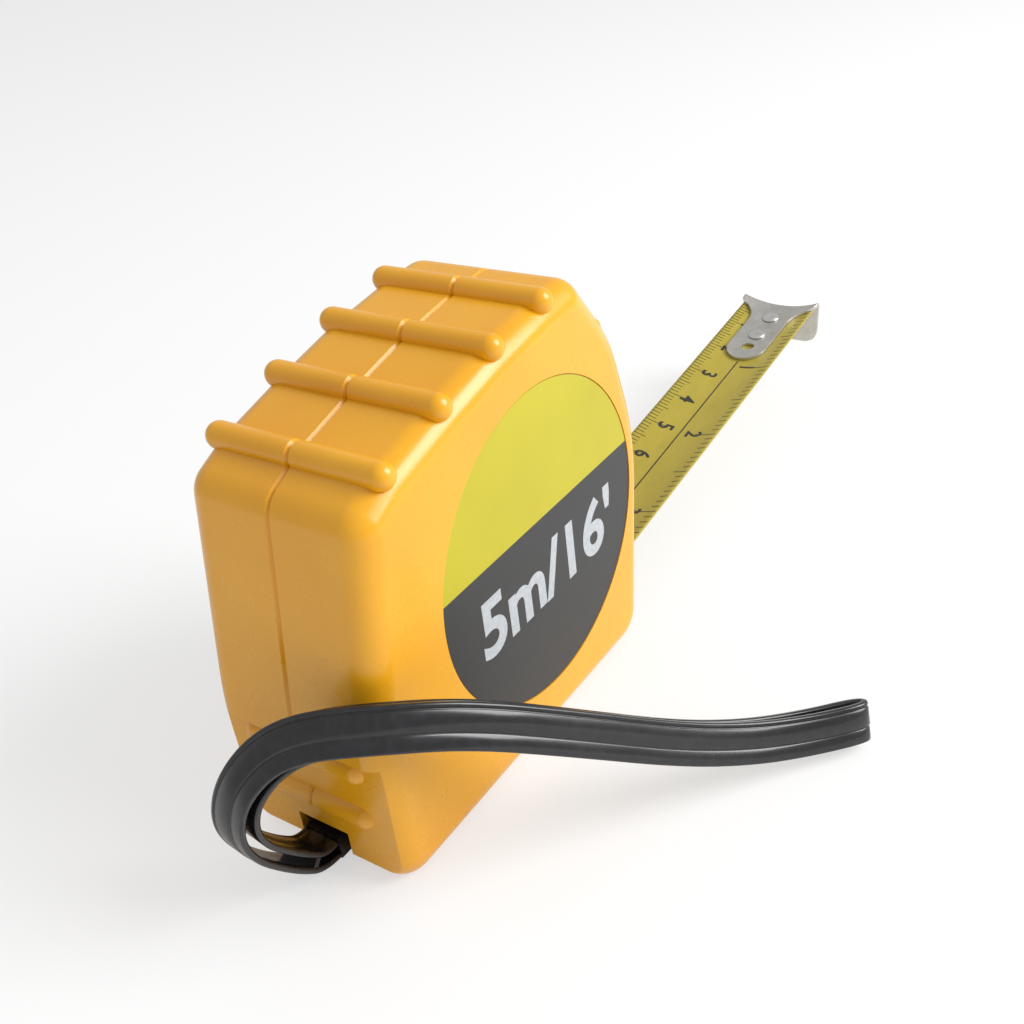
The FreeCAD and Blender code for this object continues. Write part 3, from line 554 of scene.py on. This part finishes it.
# Scale marks: thin bars along one edge of the blade, longer at every middle and main step.
def marksTree():
    tree, given, out = newTree("scale_marks", [
        ("Count", "Int"), ("Step", "Float"), ("Middle every", "Int"), ("Main every", "Int"), ("Short", "Float"),
        ("Middle", "Float"), ("Main", "Float"), ("Width", "Float"), ("Edge", "Float"), ("Dish radius", "Float"),
        ("Lift", "Float"), ("Material", "Material")])
    g = given.outputs
    step = wired(tree, "ShaderNodeCombineXYZ", [(0, calc(tree, "MULTIPLY", g["Step"], -1.0))])
    line = wired(tree, "GeometryNodeMeshLine", [("Count", g["Count"]), ("Start Location", step.outputs[0]),
                                                ("Offset", step.outputs[0])], mode="OFFSET")
    number = calc(tree, "ADD", wired(tree, "GeometryNodeInputIndex").outputs[0], 1.0)
    onMiddle = calc(tree, "COMPARE", calc(tree, "MODULO", number, g["Middle every"]), 0.0)
    onMain = calc(tree, "COMPARE", calc(tree, "MODULO", number, g["Main every"]), 0.0)
    low = wired(tree, "GeometryNodeSwitch", [(0, onMiddle), (1, g["Short"]), (2, g["Middle"])], input_type="FLOAT")
    reach = wired(tree, "GeometryNodeSwitch", [(0, onMain), (1, low.outputs[0]), (2, g["Main"])],
                  input_type="FLOAT").outputs[0]
    bar = wired(tree, "GeometryNodeMeshCube", [("Size", (1, 1, 1)), ("Vertices Y", 5)])
    shifted = wired(tree, "GeometryNodeTransform", [("Geometry", bar.outputs[0]), ("Translation", (0, -0.5, 0))])
    scale = wired(tree, "ShaderNodeCombineXYZ", [(0, g["Width"]), (1, reach), (2, g["Lift"])])
    bars = wired(tree, "GeometryNodeInstanceOnPoints", [("Points", line.outputs[0]),
                                                        ("Instance", shifted.outputs[0]),
                                                        ("Scale", scale.outputs[0])])
    solid = wired(tree, "GeometryNodeRealizeInstances", [(0, bars.outputs[0])])
    place = wired(tree, "ShaderNodeSeparateXYZ", [(0, wired(tree, "GeometryNodeInputPosition").outputs[0])])
    across = calc(tree, "ADD", place.outputs[1], g["Edge"])
    inside = calc(tree, "SUBTRACT", calc(tree, "POWER", g["Dish radius"], 2.0), calc(tree, "POWER", across, 2.0))
    height = calc(tree, "SUBTRACT", g["Dish radius"], calc(tree, "SQRT", inside))
    lifted = calc(tree, "ADD", height, calc(tree, "ADD", place.outputs[2], calc(tree, "MULTIPLY", g["Lift"], 0.5)))
    spot = wired(tree, "ShaderNodeCombineXYZ", [(0, place.outputs[0]), (1, across), (2, lifted)])
    bent = wired(tree, "GeometryNodeSetPosition", [("Geometry", solid.outputs[0]), ("Position", spot.outputs[0])])
    painted = wired(tree, "GeometryNodeSetMaterial", [("Geometry", bent.outputs[0]), ("Material", g["Material"])])
    tree.links.new(painted.outputs[0], out.inputs[0])
    return tree


marks = {
    "centimetre": {"Count": 119, "Step": 1 * mm, "Middle every": 5, "Main every": 10, "Short": 1.7 * mm,
                   "Middle": 2.4 * mm, "Main": 4.6 * mm, "Width": 0.16 * mm},
    "inch": {"Count": 75, "Step": 25.4 / 16 * mm, "Middle every": 8, "Main every": 16, "Short": 1.7 * mm,
             "Middle": 2.8 * mm, "Main": 4.6 * mm, "Width": 0.18 * mm},
}


def makeMarks():
    tree = marksTree()
    common = {"Edge": blade["width"] / 2 - 0.15 * mm, "Dish radius": dishRadius, "Lift": 2 * blade["lift"],
              "Material": scaleInk}
    for name, sizes in marks.items():
        mesh = runTree(name + "_marks", tree, {**common, **sizes})
        if name == "inch":
            mesh.transform(Matrix.Scale(-1, 4, (0, 1, 0)))
            mesh.flip_normals()
        mesh.transform(bladePlace)
        piece = keep("scale_marks_" + name, mesh, scaleInk, smooth=False)
        followBlade(piece)


makeMarks()

numerals = {
    "high": 3.3 * mm,
    "wide": 0.95,
    "bold": 0.02,
    "centimetres": 11,
    "centimetreMiddle": 3.5 * mm,
    "inches": 4,
    "inchMiddle": -2.9 * mm,
    "slice": 0.5 * mm,       # the figures are cut this fine to bend with the blade
}


def makeNumerals():
    # Each figure's foot points to the blade's left edge, so it reads across the blade.
    parts = []
    half = Matrix.Rotation(math.radians(180), 4, "Z")
    for i in range(1, numerals["centimetres"] + 1):
        parts.append((str(i), -10.0 * i * mm, numerals["centimetreMiddle"]))
    for i in range(1, numerals["inches"] + 1):
        parts.append((str(i), -25.4 * i * mm, numerals["inchMiddle"]))
    joined = bmesh.new()
    for words, x, y in parts:
        mesh = letters("figure", words, numerals["high"], (x, y, 0), half, wide=numerals["wide"],
                       bold=numerals["bold"], thick=2 * blade["lift"], centre=True)
        joined.from_mesh(mesh)
        bpy.data.meshes.remove(mesh)
    count = int(blade["width"] / numerals["slice"])
    for k in range(1, count):
        y = -blade["width"] / 2 + k * numerals["slice"]
        bmesh.ops.bisect_plane(joined, geom=joined.verts[:] + joined.edges[:] + joined.faces[:],
                               plane_co=(0, y, 0), plane_no=(0, 1, 0), dist=1e-7)
    mesh = bpy.data.meshes.new("scale_figures")
    joined.to_mesh(mesh)
    joined.free()
    for v in mesh.vertices:
        v.co.z += dishHeight(v.co.y) + blade["lift"]
    mesh.transform(bladePlace)
    piece = keep("scale_figures", mesh, scaleInk, smooth=False)
    followBlade(piece)


makeNumerals()


middleLine = {"half": 0.14 * mm, "inset": 2 * mm, "front": -23.5 * mm, "steps": 60}


def makeMiddleLine():
    wide, steps = middleLine["half"], middleLine["steps"]
    start = blade["inner"] + middleLine["inset"]
    points, faces = [], []
    for i in range(steps + 1):
        x = start + (middleLine["front"] - start) * i / steps
        for y, z in ((-wide, 0), (wide, 0), (wide, 2 * blade["lift"]), (-wide, 2 * blade["lift"])):
            points.append(bladePlace @ Vector((x, y, z + dishHeight(y))))
    for i in range(steps):
        for k in range(4):
            a, b = 4 * i + k, 4 * i + (k + 1) % 4
            faces.append((a, b, b + 4, a + 4))
    faces += [(0, 1, 2, 3), (4 * steps, 4 * steps + 1, 4 * steps + 2, 4 * steps + 3)]
    piece = keep("scale_middle_line", meshFrom("scale_middle_line", points, faces), scaleInk, smooth=False)
    followBlade(piece)


makeMiddleLine()
print("blade and its scale made")


# The end hook: one sheet, dished over the blade, bent down in front.
hook = {
    "thick": 0.66 * mm,
    "tail": 23 * mm,
    "slim": 4.3 * mm,
    "wide": 8.6 * mm,
    "flare": 9.0 * mm,       # where the tongue starts to widen, back from the lip
    "bend": 0.75 * mm,
    "lip": 7.8 * mm,
    "corner": 2.3 * mm,
    "lift": 0.37 * mm,
    "hole": 18.2 * mm,
    "holeRadius": 1.3 * mm,
    "front": 0.35 * mm,      # middle of the lip's thickness, past the scale's zero
    "wideFrom": 1.6 * mm,    # full width from here to the lip
    "flarePower": 2.88,
    "taper": 0.9 * mm,       # the lip's sides draw in by this on the way down
    "edge": 0.1 * mm,
    "columns": 28,
    "bendSteps": 8,
    "lipSteps": 14,
}


def hookHalf(x):
    slim, wide, tail = hook["slim"], hook["wide"], hook["tail"]
    if x < slim - tail:
        return math.sqrt(max(slim ** 2 - (slim - tail - x) ** 2, (0.3 * mm) ** 2))
    if x < -hook["flare"]:
        return slim
    part = min((x + hook["flare"]) / (hook["flare"] - hook["wideFrom"]), 1)
    return slim + (wide - slim) * part ** hook["flarePower"]


def makeHook():
    columns = hook["columns"]
    stations = [-hook["tail"] + hook["slim"] * (1 - math.cos(math.radians(6 * i))) for i in range(1, 16)]
    stations += [-18.7 * mm + (i + 1) * 0.7 * mm for i in range(26)]
    points, faces, rows = [], [], 0
    bend, flat = hook["bend"], hook["front"]
    for x in stations:
        if x > flat - bend - 0.1 * mm:
            break
        half = hookHalf(x)
        for k in range(columns + 1):
            y = half * (2 * k / columns - 1)
            points.append(Vector((x, y, hook["lift"] + dishHeight(y))))
        rows += 1
    for i in range(hook["bendSteps"] + 1):
        a = math.radians(90 * i / hook["bendSteps"])
        for k in range(columns + 1):
            y = hook["wide"] * (2 * k / columns - 1)
            top = hook["lift"] + dishHeight(y)
            points.append(Vector((flat - bend + bend * math.sin(a), y, top - bend + bend * math.cos(a))))
        rows += 1
    for i in range(1, hook["lipSteps"] + 1):
        down = i / hook["lipSteps"]
        for k in range(columns + 1):
            side = 2 * k / columns - 1
            corner = hook["corner"]
            start = hook["lift"] - bend
            z = start - (hook["lip"] + start) * down
            low = -hook["lip"] + corner
            half = hook["wide"] - hook["taper"] * down
            if z < low:
                half -= corner - math.sqrt(max(corner ** 2 - (low - z) ** 2, 0))
            y = half * side
            z += dishHeight(hook["wide"] * side) * (1 - down)
            points.append(Vector((flat, y, z)))
        rows += 1
    for i in range(rows - 1):
        for k in range(columns):
            a = i * (columns + 1) + k
            faces.append((a, a + 1, a + columns + 2, a + columns + 1))
    mesh = bpy.data.meshes.new("hook_sheet")
    mesh.from_pydata([tuple(p) for p in points], [], faces)
    carrier = keep("hook_sheet", mesh)
    wall = carrier.modifiers.new("wall", "SOLIDIFY")
    wall.thickness, wall.offset, wall.use_even_offset = hook["thick"], 0, True
    drill = bpy.data.meshes.new("drill")
    work = bmesh.new()
    bmesh.ops.create_cone(work, cap_ends=True, segments=40, radius1=hook["holeRadius"], radius2=hook["holeRadius"],
                          depth=6 * mm, matrix=Matrix.Translation((-hook["hole"], 0, 0)))
    work.to_mesh(drill)
    work.free()
    driller = keep("drill", drill)
    hole = carrier.modifiers.new("hole", "BOOLEAN")
    hole.operation, hole.solver, hole.object = "DIFFERENCE", "EXACT", driller
    ease = carrier.modifiers.new("ease", "BEVEL")
    ease.limit_method, ease.angle_limit = "ANGLE", math.radians(40)
    ease.width, ease.segments = hook["edge"], 2
    mesh = settled(carrier, "end_hook_sheet")
    bpy.data.objects.remove(driller)
    mesh.transform(bladePlace)
    piece = keep("end_hook_sheet", mesh)
    piece.data.shade_smooth()
    finish(piece, "zinc_steel")
    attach(piece, "hook")
    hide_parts("end_hook")


makeHook()


# Rivets: a turned shape set at each place by nodes.
def turned(name, outline, around=36):
    work = bmesh.new()
    loop = [work.verts.new((r, 0, z)) for r, z in outline]
    edges = [work.edges.new((loop[i], loop[i + 1])) for i in range(len(loop) - 1)]
    bmesh.ops.spin(work, geom=loop + edges, cent=(0, 0, 0), axis=(0, 0, 1), angle=math.tau, steps=around)
    bmesh.ops.remove_doubles(work, verts=work.verts, dist=1e-7)
    bmesh.ops.dissolve_degenerate(work, dist=1e-7, edges=work.edges)
    bmesh.ops.recalc_face_normals(work, faces=work.faces)
    mesh = bpy.data.meshes.new(name)
    work.to_mesh(mesh)
    work.free()
    return keep(name, mesh)


def rowTree():
    tree, given, out = newTree("row_of_parts", [("Part", "Object"), ("Count", "Int"), ("First", "Vector"),
                                                ("Step", "Vector"), ("Material", "Material")])
    g = given.outputs
    line = wired(tree, "GeometryNodeMeshLine", [("Count", g["Count"]), ("Start Location", g["First"]),
                                                ("Offset", g["Step"])], mode="OFFSET")
    part = wired(tree, "GeometryNodeObjectInfo", [("Object", g["Part"])])
    parts = wired(tree, "GeometryNodeInstanceOnPoints", [("Points", line.outputs[0]),
                                                         ("Instance", part.outputs["Geometry"])])
    solid = wired(tree, "GeometryNodeRealizeInstances", [(0, parts.outputs[0])])
    painted = wired(tree, "GeometryNodeSetMaterial", [("Geometry", solid.outputs[0]), ("Material", g["Material"])])
    tree.links.new(painted.outputs[0], out.inputs[0])
    return tree


rivets = {
    "first": -6.0 * mm,
    "step": -7.4 * mm,
    "outline": [(0, 1.08), (0.35, 1.1), (0.55, 1.26), (0.8, 1.3), (1.3, 1.22), (1.7, 1.02), (1.85, 0.86),
                (1.8, 0.78), (1.0, 0.76), (1.0, -0.3), (1.6, -0.3), (1.5, -0.55), (0, -0.58)],
}


def makeRivets():
    part = turned("rivet", [(r * mm, z * mm) for r, z in rivets["outline"]])
    mesh = runTree("rivets", rowTree(), {
        "Part": part, "Count": 2, "First": (rivets["first"], 0, 0), "Step": (rivets["step"], 0, 0),
        "Material": finishes["bright_steel"]})
    bpy.data.objects.remove(part)
    mesh.transform(bladePlace)
    piece = keep("hook_rivets_domed", mesh)
    piece.data.shade_smooth()
    finish(piece, "bright_steel")
    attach(piece, "blade_end")
    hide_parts("hook_rivets")


makeRivets()
print("hook and rivets made")


# Floor, sky and one soft lamp.
studio = {
    "reach": 6,               # half the floor's side, in metres
    "floor": (0.90, 0.90, 0.90),
    "glow": 0.55,             # share of the floor that the camera sees as plain white
    "sky": 0.62,
    "lampPlace": (0.32, -0.62, 0.52),
    "lampAim": (0.01, 0.0, 0.03),
    "lampSize": 0.5,
    "lampPower": 7.5,
}


def makeStudio():
    far = studio["reach"]
    mesh = bpy.data.meshes.new("floor")
    mesh.from_pydata([(-far, -far, 0), (far, -far, 0), (far, far, 0), (-far, far, 0)], [], [(0, 1, 2, 3)])
    material = bpy.data.materials.new("floor_paper")
    material.use_nodes = True
    tree = material.node_tree
    tree.nodes.clear()
    add = tree.nodes.new
    out, mix = add("ShaderNodeOutputMaterial"), add("ShaderNodeMixShader")
    path, most = add("ShaderNodeLightPath"), add("ShaderNodeMath")
    paper, white = add("ShaderNodeBsdfDiffuse"), add("ShaderNodeEmission")
    paper.inputs["Color"].default_value = (*studio["floor"], 1)
    white.inputs["Color"].default_value = (1, 1, 1, 1)
    most.operation = "MULTIPLY"
    most.inputs[1].default_value = studio["glow"]
    tree.links.new(path.outputs["Is Camera Ray"], most.inputs[0])
    tree.links.new(most.outputs[0], mix.inputs[0])
    tree.links.new(paper.outputs[0], mix.inputs[1])
    tree.links.new(white.outputs[0], mix.inputs[2])
    tree.links.new(mix.outputs[0], out.inputs["Surface"])
    keep("floor", mesh, material, smooth=False)

    world = bpy.data.worlds.new("studio_sky")
    world.use_nodes = True
    sky = world.node_tree.nodes["Background"]
    sky.inputs["Color"].default_value = (1, 1, 1, 1)
    sky.inputs["Strength"].default_value = studio["sky"]
    bpy.context.scene.world = world

    lamp = bpy.data.lights.new("soft_lamp", "AREA")
    lamp.shape, lamp.size, lamp.energy = "SQUARE", studio["lampSize"], studio["lampPower"]
    holder = bpy.data.objects.new("soft_lamp", lamp)
    bpy.context.collection.objects.link(holder)
    aim = Vector(studio["lampAim"]) - Vector(studio["lampPlace"])
    holder.matrix_world = Matrix.Translation(studio["lampPlace"]) @ aim.to_track_quat("-Z", "Y").to_matrix().to_4x4()
    bpy.context.scene.view_settings.view_transform = "Standard"


makeStudio()
print("studio made")
